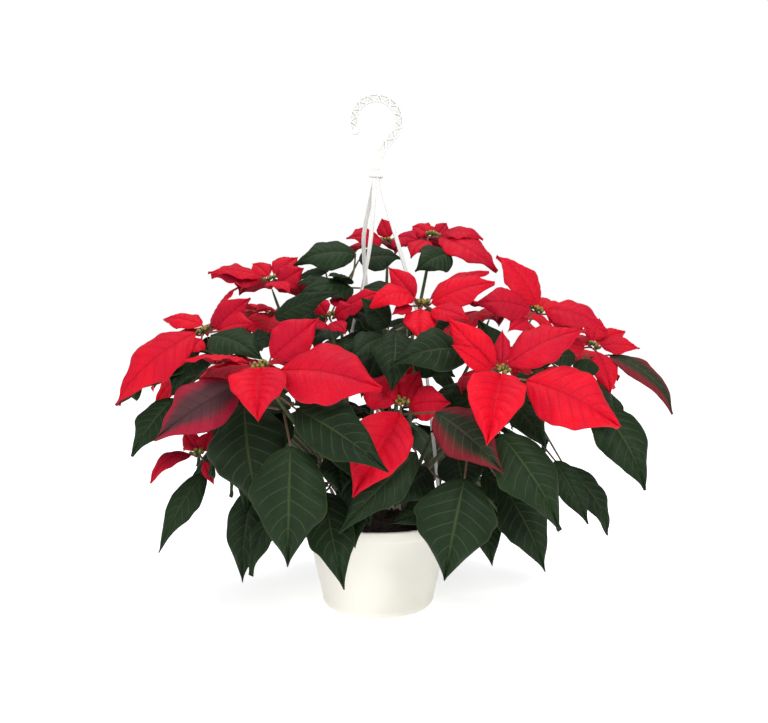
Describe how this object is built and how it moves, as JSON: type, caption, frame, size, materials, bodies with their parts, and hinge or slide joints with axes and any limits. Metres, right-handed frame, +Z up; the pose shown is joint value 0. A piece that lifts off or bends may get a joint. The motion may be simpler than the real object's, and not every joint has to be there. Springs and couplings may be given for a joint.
{
  "type": "hanging poinsettia",
  "caption": "Red poinsettia growing in a cream moulded hanging pot, with straps rising from the rim to a plastic hook.",
  "frame": {"origin": "middle of the pot's flat underside, where the pot stands", "axes": "+Z up along the pot's axis to the hook; -Y towards the plant's fullest side; +X to the right seen from there"},
  "size_m": [0.647, 0.5481, 0.6155],
  "materials": {
    "pot_plastic": "smooth moulded, soft sheen",
    "hanger_plastic": "satin moulded, with flow lines",
    "potting_soil": "damp crumbly peat",
    "stem": "green to brown bark",
    "red_bract": "velvety, veined",
    "green_leaf": "matt, pale veins",
    "turning_leaf": "green flushed with dark red"
  },
  "bodies": {
    "root": {"bract_head_back_left": "red_bract", "bract_head_back_low": "red_bract", "bract_head_back_right": "red_bract", "bract_head_centre": "red_bract", "bract_head_far_left": "red_bract", "bract_head_far_right": "red_bract", "bract_head_front_left": "red_bract", "bract_head_front_right": "red_bract", "bract_head_inner_left": "red_bract", "bract_head_left": "red_bract", "bract_head_low_left": "red_bract", "bract_head_middle_low": "red_bract", "bract_head_right": "red_bract", "bract_head_side_left": "red_bract", "bract_head_side_right": "red_bract", "bract_head_top_back": "red_bract", "bract_head_top_right": "red_bract", "hook": "hanger_plastic", "leaf_centre_across": "green_leaf", "leaf_centre_down": "green_leaf", "leaf_front_blushed": "turning_leaf", "leaf_front_left_wide": "green_leaf", "leaf_front_middle": "green_leaf", "leaf_front_right_wide": "green_leaf", "leaf_left_drooping": "green_leaf", "leaf_left_edge": "green_leaf", "leaf_left_grey": "green_leaf", "leaf_left_low": "green_leaf", "leaf_left_shaded": "green_leaf", "leaf_middle_low": "green_leaf", "leaf_pale_slender": "green_leaf", "leaf_right_curved": "green_leaf", "leaf_right_edge": "green_leaf", "leaf_right_low": "green_leaf", "leaf_right_narrow": "green_leaf", "leaf_right_ribbed": "green_leaf", "leaf_top_pale": "green_leaf", "leaf_turning_left": "turning_leaf", "leaf_turning_right": "turning_leaf", "leafy_twig_back": "green_leaf", "leafy_twig_back_left": "green_leaf", "leafy_twig_back_right": "green_leaf", "leafy_twig_far_left": "green_leaf", "leafy_twig_inner_back": "green_leaf", "leafy_twig_inner_left": "green_leaf", "leafy_twig_inner_right": "green_leaf", "leafy_twig_low_front": "green_leaf", "leafy_twig_low_right": "green_leaf", "leafy_twig_middle": "green_leaf", "leafy_twig_right": "green_leaf", "leafy_twig_side_left": "green_leaf", "leafy_twig_upper_left": "green_leaf", "pot": "pot_plastic", "soil": "potting_soil", "stems_back": "stem", "stems_left": "stem", "stems_right": "stem", "strap_back": "hanger_plastic", "strap_front_left": "hanger_plastic", "strap_front_right": "hanger_plastic"}
  },
  "joints": []
}
